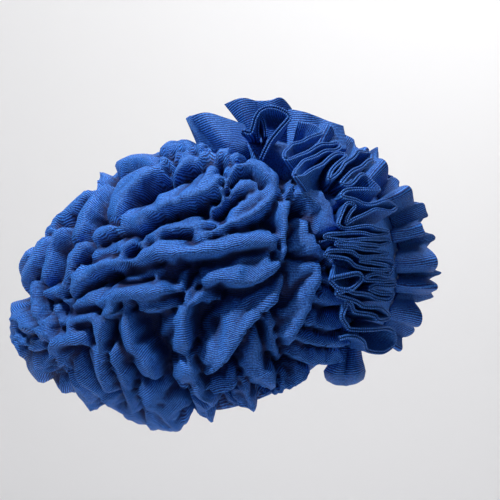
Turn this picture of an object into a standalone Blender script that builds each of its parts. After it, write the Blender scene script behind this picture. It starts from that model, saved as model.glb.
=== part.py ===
"""A ruched turban cap: a soft crown whose cloth is gathered into deep folds and hangs to one side,
and a crest of standing ruffles that runs from one ear over the top of the head.

Metres, +Z up, +Y towards the wearer's forehead, +X towards the wearer's right ear.
The origin is the centre of the head opening, where the cap sits on the head.
"""

import math
from collections import namedtuple

import bpy
import numpy as np

MM = 0.001

# Cloth and clearances
CLOTH = 2.4 * MM          # gathered knit, measured through one wall
RUFFLE_CLOTH = 3.2 * MM   # a ruffle is one strip folded double
GAP = 0.9 * MM            # air between the middle of a ruffle's root and the mean form of the crown

LOOP_GAP = 1.3 * MM       # the same for the loop and
TAIL_GAP = 1.5 * MM       # for the tail, which lean over at their roots

# The crown's mean form: one row for each section ring, from the hem to the apex, in millimetres.
# A ring passes through its left and right ends, is half_depth deep each way along Y,
# and its front stands front_rise higher than its middle.
Section = namedtuple("Section", "name left_x left_z right_x right_z half_depth front_rise")
SECTIONS = [
    Section("hem", -70, -30, 70, 30, 97, 20),
    Section("lip", -104, -38, 90, 20, 114, 13),
    Section("underside", -158, -23, 108, 36, 127, 3),
    Section("belly", -199, 13, 117, 68, 135, 0),
    Section("side", -193, 68, 114, 105, 136, 0),
    Section("shoulder", -163, 116, 97, 139, 124, 0),
    Section("upper", -117, 152, 56, 168, 98, 0),
    Section("top", -74, 175, 13, 184, 58, 0),
    Section("apex", -32, 190, -32, 190, 0, 0),
]

# The largest folds on the side that faces the reader, in millimetres of X and Z: a bent ridge from
# a narrow pinch to its full end, its half widths at the two ends, and its height.
Fold = namedtuple("Fold", "name x0 z0 x1 z1 x2 z2 start_half end_half height")
FOLDS = [
    Fold("top_roll", -85, 175, -69, 182, -45, 176, 6, 6, 12),
    Fold("crescent", -64, 162, -46, 175, -22, 168, 6, 6, 14),
    Fold("left_roll", -131, 161, -112, 169, -72, 166, 7, 5, 13),
    Fold("upper_swan", -115, 125, -110, 154, -83, 161, 8, 6, 14),
    Fold("ribbed_panel", -108, 126, -77, 132, -43, 154, 7, 12, 15),
    Fold("arch", -34, 147, -15, 180, 10, 145, 5, 6, 15),
    Fold("fan_panel", -50, 111, -19, 123, 3, 145, 6, 15, 15),
    Fold("long_lip", -98, 95, -62, 102, 2, 106, 6, 7, 16),
    Fold("box_panel", -41, 80, -19, 85, 2, 92, 9, 13, 15),
    Fold("left_shelf", -131, 111, -114, 120, -95, 121, 7, 5, 11),
    Fold("eye_upper", -146, 71, -134, 94, -96, 94, 9, 7, 15),
    Fold("eye_lower", -148, 63, -114, 61, -77, 73, 8, 5, 14),
    Fold("hourglass_top", -65, 64, -63, 42, -62, 20, 15, 10, 15),
    Fold("hourglass_foot", -62, 22, -62, 4, -58, -13, 10, 24, 16),
    Fold("slant", 3, 70, -9, 51, -40, 15, 13, 8, 15),
    Fold("long_leaf", -108, 51, -103, 28, -93, 3, 8, 8, 12),
    Fold("tall_leaf", -136, 47, -131, 28, -124, -9, 17, 5, 15),
    Fold("snail", -174, 11, -169, 30, -143, 32, 8, 7, 15),
    Fold("tent", -114, 15, -112, -3, -110, -25, 3, 15, 15),
    Fold("low_lobe", -112, -39, -96, -47, -74, -42, 9, 10, 14),
    Fold("corner_tent", -155, -1, -151, -20, -148, -39, 4, 16, 15),
    Fold("end_roll", -213, 13, -208, -4, -181, -9, 9, 8, 15),
    Fold("cup_lip", -212, 44, -201, 37, -174, 35, 6, 8, 14),
    Fold("tip_roll", -215, 61, -205, 77, -191, 92, 7, 7, 14),
    Fold("bright_roll", -196, 73, -186, 87, -177, 101, 9, 8, 15),
    Fold("side_cup", -170, 66, -153, 61, -141, 99, 9, 5, 12),
    Fold("side_lip", -172, 118, -157, 128, -136, 140, 7, 7, 14),
    Fold("horseshoe_left", 13, 95, 7, 123, 15, 144, 7, 8, 15),
    Fold("horseshoe_top", 14, 140, 33, 157, 48, 114, 7, 7, 16),
    Fold("seam_leaf", 33, 87, 31, 58, 19, 32, 11, 6, 14),
    Fold("neck_tent", -8, 34, -5, 18, -3, -3, 3, 15, 14),
    Fold("hem_fold_left", -53, -16, -52, -27, -48, -42, 6, 12, 12),
]
VALLEY = -8.0             # millimetres: how far the cloth between folds lies below the mean form
FOLD_SAMPLES = 16         # points along one fold when its distance is measured
FOLD_FOOT = 5.0           # millimetres that a fold's foot spreads beyond its half width
FOLD_LIFT = 1.2           # scales every fold's height
FOLD_FULLNESS = 1.15      # 1 gives a parabola; more gives a narrower crest
FOLD_MERGE = 5.0          # how sharply neighbouring folds meet
MIRROR_X = -160.0         # millimetres: the far side carries the folds turned end for end about X = half of this
FAR_START, FAR_FULL = 5.0, 45.0   # millimetres of Y over which the far side's folds take over

# The crest: how far from the middle of the right side the plain cloth under the ruffles reaches,
# in degrees, at stations from hem 0 to apex 1
Reach = namedtuple("Reach", "along degrees")
CREST_REACH = [Reach(0.0, 57), Reach(0.74, 57), Reach(0.80, 72), Reach(0.85, 108), Reach(0.91, 180)]
CREST_EDGE = math.radians(6)

# A ruffle row stands on one meridian of the crown. One row for each stretch of it, from the ear
# up: place along the crown from hem 0 to apex 1, the pitch of its waves, their half width at the
# outer edge, and the ruffle's height.
ROW_ANGLES = [math.radians(a) for a in (-44, -15, 15, 44)]
Stretch = namedtuple("Stretch", "along pitch half_width height")
OUTER_ROW = [
    Stretch(0.14, 24, 24, 27),
    Stretch(0.25, 21, 36, 31),
    Stretch(0.45, 19, 41, 32),
    Stretch(0.62, 21, 34, 31),
    Stretch(0.76, 24, 18, 27),
]
MIDDLE_ROW = [
    Stretch(0.14, 24, 24, 30),
    Stretch(0.25, 22, 36, 36),
    Stretch(0.42, 20, 41, 37),
    Stretch(0.48, 20, 41, 41),
    Stretch(0.54, 20, 41, 35),
    Stretch(0.62, 22, 36, 32),
    Stretch(0.73, 24, 24, 28),
]
ROOT_SHARE = 0.72         # a ruffle's root waves this much of its outer edge
WAVE_STEPS = 8            # mesh steps along one wave
ROUNDING = 0.075          # widens the turns of a wave, as a share of its pitch

# Free ends of the gathered strips. Each station joins a place on the crown (degrees round it and
# share of the way from hem to apex) to a point of the free edge in millimetres.
Station = namedtuple("Station", "degrees along edge_x edge_y edge_z")
LEAF_LEFT = [
    Station(-112, 0.885, -65, -52, 204),
    Station(-104, 0.885, -56, -56, 205),
    Station(-92, 0.890, -44, -52, 207),
    Station(-82, 0.900, -31, -44, 207),
    Station(-74, 0.915, -20, -36, 205),
]
LEAF_TOP = [
    Station(-4, 0.978, -32, -6, 214),
    Station(-4, 0.955, -17, -9, 219),
    Station(-2, 0.930, -2, -10, 220),
    Station(-3, 0.900, 13, -9, 219),
    Station(-3, 0.872, 25, -6, 211),
]
LEAF_BACK = [
    Station(-3, 0.850, 29, -14, 210),
    Station(-3, 0.825, 44, -15, 208),
    Station(-3, 0.800, 57, -14, 203),
    Station(-3, 0.775, 69, -12, 195),
]
CREST_LOOP = [
    Station(-58, 0.815, 12, -76, 190),
    Station(-50, 0.840, 22, -68, 200),
    Station(-46, 0.870, 19, -60, 209),
    Station(-52, 0.900, 7, -58, 213),
    Station(-66, 0.895, -3, -64, 207),
    Station(-74, 0.870, -9, -72, 197),
]
TAIL = [
    Station(-58, 0.098, 53, -92, -21),
    Station(-54, 0.110, 59, -106, -24),
    Station(-50, 0.102, 67, -103, -26),
    Station(-46, 0.110, 74, -104, -24),
    Station(-42, 0.102, 82, -96, -21),
    Station(-38, 0.110, 88, -92, -17),
]
STATION_STEPS = 3         # mesh steps between two stations

# Mesh density of the crown: the folded side that faces the reader, the crest and the far side
NEAR_COLUMNS = 33
CREST_COLUMNS = 10
FAR_COLUMNS = 19
RINGS = 32
HEM_FADE = (0.05, 0.15)   # the folds rise over this share of the way up from the hem,
VALLEY_FADE = (0.13, 0.27)  # and the valleys between them sink over this one

NAVY = (0.016, 0.055, 0.21, 1.0)
DEEP_NAVY = (0.012, 0.042, 0.165, 1.0)


def clear_scene():
    for thing in list(bpy.data.objects):
        bpy.data.objects.remove(thing, do_unlink=True)


def smooth_step(value, low, high):
    share = np.clip((value - low) / (high - low), 0.0, 1.0)
    return share * share * (3.0 - 2.0 * share)


def read_table(rows, position):
    """The rows' numbers at a fractional row position, on a smooth curve through the rows."""
    table = np.array([[v for v in row if not isinstance(v, str)] for row in rows], float)
    last = len(table) - 1
    position = np.clip(np.asarray(position, float), 0.0, last)
    low = np.minimum(position.astype(int), last - 1)
    t = (position - low)[..., None]
    before, here = table[np.maximum(low - 1, 0)], table[low]
    there, after = table[low + 1], table[np.minimum(low + 2, last)]
    lead, trail = (there - before) / 2, (after - here) / 2
    return (
        here * (1 + 2 * t) * (1 - t) ** 2
        + lead * t * (1 - t) ** 2
        + there * t * t * (3 - 2 * t)
        + trail * t * t * (t - 1)
    )


def mean_point(angle, along):
    """The crown's mean form, in millimetres. Angle 0 is the right end of a ring and -90 degrees its near side."""
    angle, along = np.broadcast_arrays(np.asarray(angle, float), np.asarray(along, float))
    left_x, left_z, right_x, right_z, depth, rise = np.moveaxis(
        read_table(SECTIONS, along * (len(SECTIONS) - 1)), -1, 0
    )
    across, forward = np.cos(angle), np.sin(angle)
    return np.stack(
        [
            (left_x + right_x) / 2 + (right_x - left_x) / 2 * across,
            depth * forward,
            (left_z + right_z) / 2 + (right_z - left_z) / 2 * across + rise * forward,
        ],
        axis=-1,
    )


def mean_normal(angle, along):
    step = 1e-3
    around = mean_point(angle + step, along) - mean_point(angle - step, along)
    upward = mean_point(angle, np.minimum(along + step, 1)) - mean_point(angle, np.maximum(along - step, 0))
    normal = np.cross(around, upward)
    return normal / np.maximum(np.linalg.norm(normal, axis=-1, keepdims=True), 1e-9)


def fold_relief(x, z):
    """How far the charted folds stand above the valleys between them, in millimetres."""
    total = np.zeros(x.shape)
    t = np.linspace(0, 1, FOLD_SAMPLES)
    for fold in FOLDS:
        ridge_x = (1 - t) ** 2 * fold.x0 + 2 * t * (1 - t) * fold.x1 + t * t * fold.x2
        ridge_z = (1 - t) ** 2 * fold.z0 + 2 * t * (1 - t) * fold.z1 + t * t * fold.z2
        away = np.hypot(x[..., None] - ridge_x, z[..., None] - ridge_z)
        half = fold.start_half + (fold.end_half - fold.start_half) * t
        inside = np.clip(1 - (away / (half + FOLD_FOOT)) ** 2, 0, None) ** FOLD_FULLNESS
        rise = FOLD_LIFT * fold.height * (0.7 + 0.3 * t) * inside
        total += rise.max(axis=-1) ** FOLD_MERGE
    return total ** (1 / FOLD_MERGE)


def crown_relief(angle, along):
    """Height of the finished cloth over the mean form, in millimetres."""
    place = mean_point(angle, along)
    x, y, z = place[..., 0], place[..., 1], place[..., 2]
    far = smooth_step(y, FAR_START, FAR_FULL)
    folds = (1 - far) * fold_relief(x, z) + far * fold_relief(MIRROR_X - x, z)
    turned = np.abs((angle + math.pi) % (2 * math.pi) - math.pi)
    reach = np.radians(np.interp(along, *zip(*CREST_REACH)))
    bag = smooth_step(turned, reach, reach + CREST_EDGE)
    return bag * (VALLEY * smooth_step(along, *VALLEY_FADE) + folds * smooth_step(along, *HEM_FADE))


def crown_columns():
    """Angles round the crown, closest together on the folded side that faces the reader."""
    edge = math.radians(CREST_REACH[0].degrees)
    spans = [(-math.pi, -edge, NEAR_COLUMNS), (-edge, edge, CREST_COLUMNS), (edge, math.pi, FAR_COLUMNS)]
    return np.concatenate([np.linspace(low, high, count + 1)[:-1] for low, high, count in spans])


def add_object(name, points, faces, colour, smooth_angle=50):
    """Makes one named object from millimetre points, with its own cloth material."""
    mesh = bpy.data.meshes.new(name)
    mesh.from_pydata([tuple(float(v) * MM for v in p) for p in points], [], faces)
    mesh.validate()
    mesh.shade_smooth()
    mesh.set_sharp_from_angle(angle=math.radians(smooth_angle))
    material = bpy.data.materials.new(name + "_cloth")
    material.use_nodes = True
    shader = material.node_tree.nodes["Principled BSDF"]
    shader.inputs["Base Color"].default_value = colour
    shader.inputs["Roughness"].default_value = 0.75
    shader.inputs["Metallic"].default_value = 0.0
    mesh.materials.append(material)
    made = bpy.data.objects.new(name, mesh)
    bpy.context.scene.collection.objects.link(made)
    return made


def build_crown():
    """The hollow crown: an outer wall, an inner wall one cloth thickness inside it, and the hem between."""
    columns = crown_columns()
    along = np.linspace(0, 1, RINGS + 1)[:-1]
    angle_grid, along_grid = np.meshgrid(columns, along)
    place, normal = mean_point(angle_grid, along_grid), mean_normal(angle_grid, along_grid)
    relief = crown_relief(angle_grid, along_grid)[..., None]
    outer = place + normal * relief
    inner = place + normal * (relief - CLOTH / MM)
    apex = mean_point(0.0, 1.0)
    tips = np.array([apex, apex - [0, 0, CLOTH / MM]])
    points = np.concatenate([outer.reshape(-1, 3), inner.reshape(-1, 3), tips])

    count, rings = len(columns), len(along)
    inside = rings * count
    tip_out, tip_in = 2 * inside, 2 * inside + 1
    faces = []
    for c in range(count):
        d = (c + 1) % count
        faces.append((c, inside + c, inside + d))
        faces.append((c, inside + d, d))
        for r in range(rings - 1):
            a, b = r * count + c, r * count + d
            up_a, up_b = a + count, b + count
            faces.append((a, b, up_b))
            faces.append((a, up_b, up_a))
            faces.append((inside + a, inside + up_b, inside + b))
            faces.append((inside + a, inside + up_a, inside + up_b))
        top_c, top_d = (rings - 1) * count + c, (rings - 1) * count + d
        faces.append((top_c, top_d, tip_out))
        faces.append((inside + top_c, tip_in, inside + top_d))
    return add_object("crown", points, faces, NAVY)


def thick_strip(root, crest, thickness):
    """Points and faces of a standing strip between two lines of points, with flat ends."""
    steps = len(root)
    ahead = np.gradient(root + crest, axis=0)
    side = np.cross(ahead, crest - root)
    side *= thickness / 2 / np.maximum(np.linalg.norm(side, axis=-1, keepdims=True), 1e-9)
    rails = [root - side, crest - side, crest + side, root + side]
    points = np.stack(rails, axis=1).reshape(-1, 3)
    faces = []
    for i in range(steps - 1):
        for k in range(4):
            a, b = 4 * i + k, 4 * i + (k + 1) % 4
            faces.append((a, b, b + 4))
            faces.append((a, b + 4, a + 4))
    end = 4 * (steps - 1)
    faces += [(0, 2, 1), (0, 3, 2), (end, end + 1, end + 2), (end, end + 2, end + 3)]
    return points, faces


def stand_on_crown(angle, along, height):
    """A point that stands off the crown's mean form, in millimetres."""
    return mean_point(angle, along) + mean_normal(angle, along) * np.asarray(height)[..., None]


def ruffle_lines(stretches, row_angle, phase):
    """Root and outer edge of one ruffle row: a strip that winds from side to side up a meridian."""
    table = np.array(stretches)
    along, wave = [table[0, 0]], [phase]
    while along[-1] < table[-1, 0]:
        pitch = np.interp(along[-1], table[:, 0], table[:, 1])
        ahead = mean_point(row_angle, along[-1] + 1e-3) - mean_point(row_angle, along[-1])
        along.append(along[-1] + pitch / WAVE_STEPS / (np.linalg.norm(ahead) / 1e-3))
        wave.append(wave[-1] + 2 * math.pi / WAVE_STEPS)
    along, wave = np.array(along), np.array(wave)
    half, height = (np.interp(along, table[:, 0], table[:, k]) for k in (2, 3))
    turned = along - ROUNDING * WAVE_STEPS * np.gradient(along) * np.sin(2 * wave)
    across = np.linalg.norm(
        mean_point(row_angle + 1e-3, along) - mean_point(row_angle - 1e-3, along), axis=-1
    ) / 2e-3
    swing = half * np.sin(wave) / (across + height)
    root = stand_on_crown(row_angle + ROOT_SHARE * swing, turned, np.full(len(along), GAP / MM))
    edge = stand_on_crown(row_angle + swing, turned, height)
    return root, edge


def flap_lines(stations, gap):
    """Root on the crown and free edge of one flap, on smooth curves through its stations."""
    place = np.linspace(0, len(stations) - 1, STATION_STEPS * (len(stations) - 1) + 1)
    roots = [stand_on_crown(math.radians(s.degrees), s.along, gap / MM) for s in stations]
    edges = [(s.edge_x, s.edge_y, s.edge_z) for s in stations]
    root, edge = read_table(roots, place), read_table(edges, place)
    return root, edge


def build_ruffles():
    for number, row_angle in enumerate(ROW_ANGLES, 1):
        stretches = OUTER_ROW if number in (1, 4) else MIDDLE_ROW
        root, edge = ruffle_lines(stretches, row_angle, phase=number * math.pi * 0.75)
        points, faces = thick_strip(root, edge, RUFFLE_CLOTH / MM)
        add_object(f"ruffle_row_{number}", points, faces, DEEP_NAVY)


def build_flaps():
    flaps = {
        "crest_leaf_left": (LEAF_LEFT, GAP),
        "crest_leaf_top": (LEAF_TOP, GAP),
        "crest_leaf_back": (LEAF_BACK, GAP),
        "crest_loop": (CREST_LOOP, LOOP_GAP),
        "ruffle_tail": (TAIL, TAIL_GAP),
    }
    for name, (stations, gap) in flaps.items():
        points, faces = thick_strip(*flap_lines(stations, gap), RUFFLE_CLOTH / MM)
        add_object(name, points, faces, DEEP_NAVY)


def main():
    clear_scene()
    build_crown()
    build_ruffles()
    build_flaps()


main()
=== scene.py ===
# %% [markdown]
# # A ruched turban cap
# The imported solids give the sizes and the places. This script dresses them: it swaps each solid
# for a finer piece of cloth, gives the cloth its knitted finish, and sets up the light and camera.

import math
from collections import namedtuple

import bpy
import numpy as np
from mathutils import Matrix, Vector
from mathutils.bvhtree import BVHTree


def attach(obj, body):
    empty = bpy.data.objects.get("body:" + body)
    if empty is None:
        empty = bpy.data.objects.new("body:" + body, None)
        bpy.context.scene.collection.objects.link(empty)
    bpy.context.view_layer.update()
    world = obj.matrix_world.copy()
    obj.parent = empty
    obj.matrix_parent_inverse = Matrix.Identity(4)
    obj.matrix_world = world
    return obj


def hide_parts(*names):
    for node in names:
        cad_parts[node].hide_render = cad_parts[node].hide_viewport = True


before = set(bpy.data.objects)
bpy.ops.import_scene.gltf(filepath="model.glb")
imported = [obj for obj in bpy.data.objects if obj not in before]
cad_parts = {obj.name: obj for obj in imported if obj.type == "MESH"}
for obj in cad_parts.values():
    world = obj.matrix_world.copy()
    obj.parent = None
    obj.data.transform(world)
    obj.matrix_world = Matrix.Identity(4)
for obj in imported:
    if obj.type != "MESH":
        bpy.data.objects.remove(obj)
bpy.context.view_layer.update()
MM = 0.001
print("nodes:", ", ".join(sorted(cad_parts)))


# %% [markdown]
# ## Camera
# The photograph looks at the back of the cap, almost level. One pixel of it is 0.86 mm of the cap.

# %% Camera
PHOTO_CENTRE = Vector((-10.3, 0.0, 90.3)) * MM
DISTANCE, FIELD = 1.15, 430 * MM           # how far off the camera stands, and how wide it sees there
TILT = math.radians(4.0)
SENSOR = 36


def add_object(name, data):
    made = bpy.data.objects.new(name, data)
    bpy.context.scene.collection.objects.link(made)
    return made


camera_data = bpy.data.cameras.new("camera")
camera_data.sensor_width = SENSOR
camera_data.lens = SENSOR * DISTANCE / FIELD
camera = add_object("camera", camera_data)
camera.location = PHOTO_CENTRE + DISTANCE * Vector((0, -math.cos(TILT), math.sin(TILT)))
camera.rotation_euler = (math.pi / 2 - TILT, 0, 0)
bpy.context.scene.camera = camera
print(f"camera {DISTANCE} m away, lens {camera_data.lens:.0f} mm")


# %% [markdown]
# ## The crown's mean form
# The solid crown was made from a few section rings. The same rings guide the fine cloth.

# %% Section rings
Section = namedtuple("Section", "name left_x left_z right_x right_z half_depth front_rise")
SECTIONS = [
    Section("hem", -70, -30, 70, 30, 97, 20),
    Section("lip", -104, -38, 90, 20, 114, 13),
    Section("underside", -158, -23, 108, 36, 127, 3),
    Section("belly", -199, 13, 117, 68, 135, 0),
    Section("side", -193, 68, 114, 105, 136, 0),
    Section("shoulder", -163, 116, 97, 139, 124, 0),
    Section("upper", -117, 152, 56, 168, 98, 0),
    Section("top", -74, 175, 13, 184, 58, 0),
    Section("apex", -32, 190, -32, 190, 0, 0),
]


# %% Points and normals of the mean form
def smooth_rows(table, position):
    """The table's rows at fractional row positions, on a smooth curve through the rows."""
    last = len(table) - 1
    position = np.clip(np.asarray(position, float), 0.0, last)
    low = np.minimum(position.astype(int), last - 1)
    t = (position - low)[..., None]
    before, here = table[np.maximum(low - 1, 0)], table[low]
    there, after = table[low + 1], table[np.minimum(low + 2, last)]
    lead, trail = (there - before) / 2, (after - here) / 2
    return (
        here * (1 + 2 * t) * (1 - t) ** 2
        + lead * t * (1 - t) ** 2
        + there * t * t * (3 - 2 * t)
        + trail * t * t * (t - 1)
    )


def read_table(rows, position):
    """The same for a table whose rows may start with a name."""
    numbers = [[v for v in row if not isinstance(v, str)] for row in rows]
    return smooth_rows(np.array(numbers, float), position)


def mean_point(angle, along):
    """The crown's mean form, in millimetres. Angle 0 is the right end of a ring and -90 degrees its near side."""
    angle, along = np.broadcast_arrays(np.asarray(angle, float), np.asarray(along, float))
    left_x, left_z, right_x, right_z, depth, rise = np.moveaxis(
        read_table(SECTIONS, along * (len(SECTIONS) - 1)), -1, 0
    )
    across, forward = np.cos(angle), np.sin(angle)
    return np.stack(
        [
            (left_x + right_x) / 2 + (right_x - left_x) / 2 * across,
            depth * forward,
            (left_z + right_z) / 2 + (right_z - left_z) / 2 * across + rise * forward,
        ],
        axis=-1,
    )


def mean_normal(angle, along):
    step = 1e-3
    around = mean_point(angle + step, along) - mean_point(angle - step, along)
    upward = mean_point(angle, np.minimum(along + step, 1)) - mean_point(angle, np.maximum(along - step, 0))
    normal = np.cross(around, upward)
    return normal / np.maximum(np.linalg.norm(normal, axis=-1, keepdims=True), 1e-9)


def stand_on_crown(angle, along, height):
    """A point that stands off the crown's mean form, in millimetres."""
    return mean_point(angle, along) + mean_normal(angle, along) * np.asarray(height)[..., None]


def smooth_step(value, low, high):
    share = np.clip((value - low) / (high - low), 0.0, 1.0)
    return share * share * (3.0 - 2.0 * share)


# %% [markdown]
# ## Folds
# The bag is a wide piece of stretch knit whose fullness is caught down in short lines. Between the
# lines the spare cloth stands up in rolls. They follow no rule, so a table lists those that the
# photograph shows. Each one is a bent line from its start over its middle to its end, in
# millimetres across and up, with its half width at both ends and its height. The chart also has
# the short gathers between the bag and the first ruffle row.

# %% Fold table
Fold = namedtuple("Fold", "name x0 z0 x1 z1 x2 z2 start_half end_half height")
FOLDS = [
    Fold("top_bump", -69, 188, -60, 187, -50, 178, 6, 5, 9),
    Fold("top_roll", -85, 175, -69, 182, -45, 176, 6, 6, 12),
    Fold("top_inner_roll", -76, 168, -60, 178, -40, 171, 5, 6, 11),
    Fold("crescent", -64, 162, -46, 175, -22, 168, 6, 6, 14),
    Fold("left_roll", -131, 161, -112, 169, -72, 166, 7, 5, 13),
    Fold("left_hook", -136, 149, -138, 157, -126, 163, 7, 6, 13),
    Fold("upper_swan", -115, 125, -110, 154, -83, 161, 8, 6, 14),
    Fold("ribbed_panel", -108, 126, -77, 132, -43, 154, 7, 12, 15),
    Fold("arch", -34, 147, -15, 180, 10, 145, 5, 6, 15),
    Fold("arch_inner", -41, 137, -22, 152, -3, 147, 8, 7, 10),
    Fold("fan_panel", -50, 111, -19, 123, 3, 145, 6, 15, 15),
    Fold("middle_roll", -93, 109, -62, 118, -31, 123, 6, 7, 11),
    Fold("long_lip", -98, 95, -62, 102, 2, 106, 6, 7, 16),
    Fold("box_panel", -41, 80, -19, 85, 2, 92, 9, 13, 15),
    Fold("left_shelf", -131, 111, -114, 120, -95, 121, 7, 5, 11),
    Fold("left_shelf_low", -134, 95, -114, 102, -95, 106, 8, 6, 12),
    Fold("eye_upper", -146, 71, -134, 94, -96, 94, 9, 7, 15),
    Fold("eye_lower", -148, 63, -114, 61, -77, 73, 8, 5, 14),
    Fold("eye_bridge", -96, 85, -74, 85, -50, 68, 5, 8, 9),
    Fold("hourglass_bar", -88, 58, -69, 63, -48, 64, 5, 6, 11),
    Fold("hourglass_top", -65, 64, -63, 42, -62, 20, 15, 10, 15),
    Fold("hourglass_foot", -62, 22, -62, 4, -58, -13, 10, 24, 16),
    Fold("hourglass_toe", -53, -6, -38, -6, -21, -3, 8, 5, 12),
    Fold("slant", 3, 70, -9, 51, -40, 15, 13, 8, 15),
    Fold("long_leaf", -108, 51, -103, 28, -93, 3, 8, 8, 12),
    Fold("tall_leaf", -136, 47, -131, 28, -124, -9, 17, 5, 15),
    Fold("tall_leaf_corner", -153, 40, -141, 49, -117, 54, 7, 7, 14),
    Fold("snail", -174, 11, -169, 30, -143, 32, 8, 7, 15),
    Fold("snail_tail", -169, 15, -146, 4, -124, -23, 9, 6, 14),
    Fold("tent", -114, 15, -112, -3, -110, -25, 3, 15, 15),
    Fold("tent_flap", -105, -6, -89, -16, -71, -35, 6, 9, 13),
    Fold("low_lobe", -112, -39, -96, -47, -74, -42, 9, 10, 14),
    Fold("corner_tent", -155, -1, -151, -20, -148, -39, 4, 16, 15),
    Fold("corner_roll", -179, -8, -175, -20, -163, -34, 6, 6, 11),
    Fold("end_roll", -213, 13, -208, -4, -181, -9, 9, 8, 15),
    Fold("end_ridge", -208, 30, -203, 16, -187, 13, 4, 5, 10),
    Fold("end_panel", -200, 25, -187, 23, -172, 23, 5, 5, 9),
    Fold("cup_lip", -212, 44, -201, 37, -174, 35, 6, 8, 14),
    Fold("cup_back", -187, 66, -186, 51, -182, 35, 5, 11, 12),
    Fold("tip_roll", -215, 61, -205, 77, -191, 92, 7, 7, 14),
    Fold("bright_roll", -196, 73, -186, 87, -177, 101, 9, 8, 15),
    Fold("edge_roll", -191, 94, -182, 104, -169, 113, 6, 5, 12),
    Fold("side_roll", -177, 78, -172, 94, -163, 108, 6, 6, 12),
    Fold("side_cup", -170, 66, -153, 61, -141, 99, 9, 5, 12),
    Fold("side_lip", -172, 118, -157, 128, -136, 140, 7, 7, 14),
    Fold("rim_roll", -170, 123, -158, 135, -136, 144, 6, 5, 12),
    Fold("inner_side", -146, 106, -138, 121, -129, 140, 8, 6, 13),
    Fold("side_small", -165, 54, -162, 47, -158, 37, 6, 5, 9),
    Fold("horseshoe_left", 13, 95, 7, 123, 15, 144, 7, 8, 15),
    Fold("horseshoe_top", 14, 140, 33, 157, 48, 114, 7, 7, 16),
    Fold("horseshoe_heart", 28, 118, 34, 104, 41, 89, 6, 8, 12),
    Fold("seam_leaf", 33, 87, 31, 58, 19, 32, 11, 6, 14),
    Fold("low_slant", 0, 54, 7, 44, 10, 23, 7, 7, 11),
    Fold("neck_tent", -8, 34, -5, 18, -3, -3, 3, 15, 14),
    Fold("hem_fold_left", -53, -16, -52, -27, -48, -42, 6, 12, 12),
    Fold("hem_fold_mid", -15, -6, -12, -15, -10, -27, 6, 8, 11),
    Fold("hem_roll_left", -131, -37, -122, -40, -112, -42, 7, 7, 9),
    Fold("hem_fold_right", 7, -15, 19, -6, 33, 3, 7, 5, 9),
    Fold("gather_1", 44, 138, 53, 136, 66, 139, 5, 6, 12),
    Fold("gather_2", 47, 123, 56, 120, 69, 122, 5, 6, 12),
    Fold("gather_3", 46, 107, 56, 104, 70, 106, 5, 6, 13),
    Fold("gather_4", 43, 92, 54, 89, 70, 91, 5, 6, 13),
    Fold("gather_5", 43, 77, 54, 73, 70, 75, 5, 6, 12),
    Fold("gather_6", 41, 62, 53, 57, 69, 59, 5, 7, 13),
    Fold("gather_7", 37, 46, 50, 41, 67, 43, 5, 7, 12),
    Fold("gather_8", 32, 32, 46, 26, 65, 28, 5, 7, 13),
    Fold("gather_9", 28, 18, 43, 11, 61, 13, 5, 7, 12),
]


# %% [markdown]
# ## From the chart to heights
# Each roll has a broad face that falls gently towards the upper left and a steep fall below its
# lip. Where two rolls meet, the higher one is on top, and a crease parts them. All heights are in
# millimetres.

# %% Height of the charted folds
MIRROR_X = -160.0                      # the far side repeats the near one, turned end for end
FAR_START, FAR_FULL = 5.0, 45.0        # how far back it begins and is complete
WAVER, WAVER_SIZE = 2.5, 45            # the charted lines waver a little
ROLL_TOP, HEIGHT_SHARE = 14.0, 1.25    # a roll's top is a plain height and a share of its charted one
LIT_SLOPE, SHADE_SLOPE, END_SLOPE = 0.85, 4.0, 1.2
LIP_PLACE, LIP_ROUND = 0.6, 0.6        # the lip's place, in half widths below the line, and its roundness
LIGHT_SIDE = (-0.55, 0.83)             # the direction of the broad faces
CREASE, CREASE_WIDTH = 15.0, 2.4
RIDGE, PINCH = 3.0, 4.0                # small sharp ridges over the broad faces, and thin creases
RIDGE_WIDTH, PINCH_WIDTH = 0.5, 0.07
LINE_POINTS = 24


def wander(x, z, size, seed):
    """A smooth random number from about -1 to 1 at each place. It changes over about size millimetres."""
    rng = np.random.default_rng(seed)
    total = np.zeros(np.shape(x))
    for _ in range(6):
        turn, start = rng.uniform(0, math.tau, 2)
        reach = size * rng.uniform(0.8, 1.8)
        total += np.sin((x * math.cos(turn) + z * math.sin(turn)) * math.tau / reach + start)
    return total / 3.2


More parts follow.
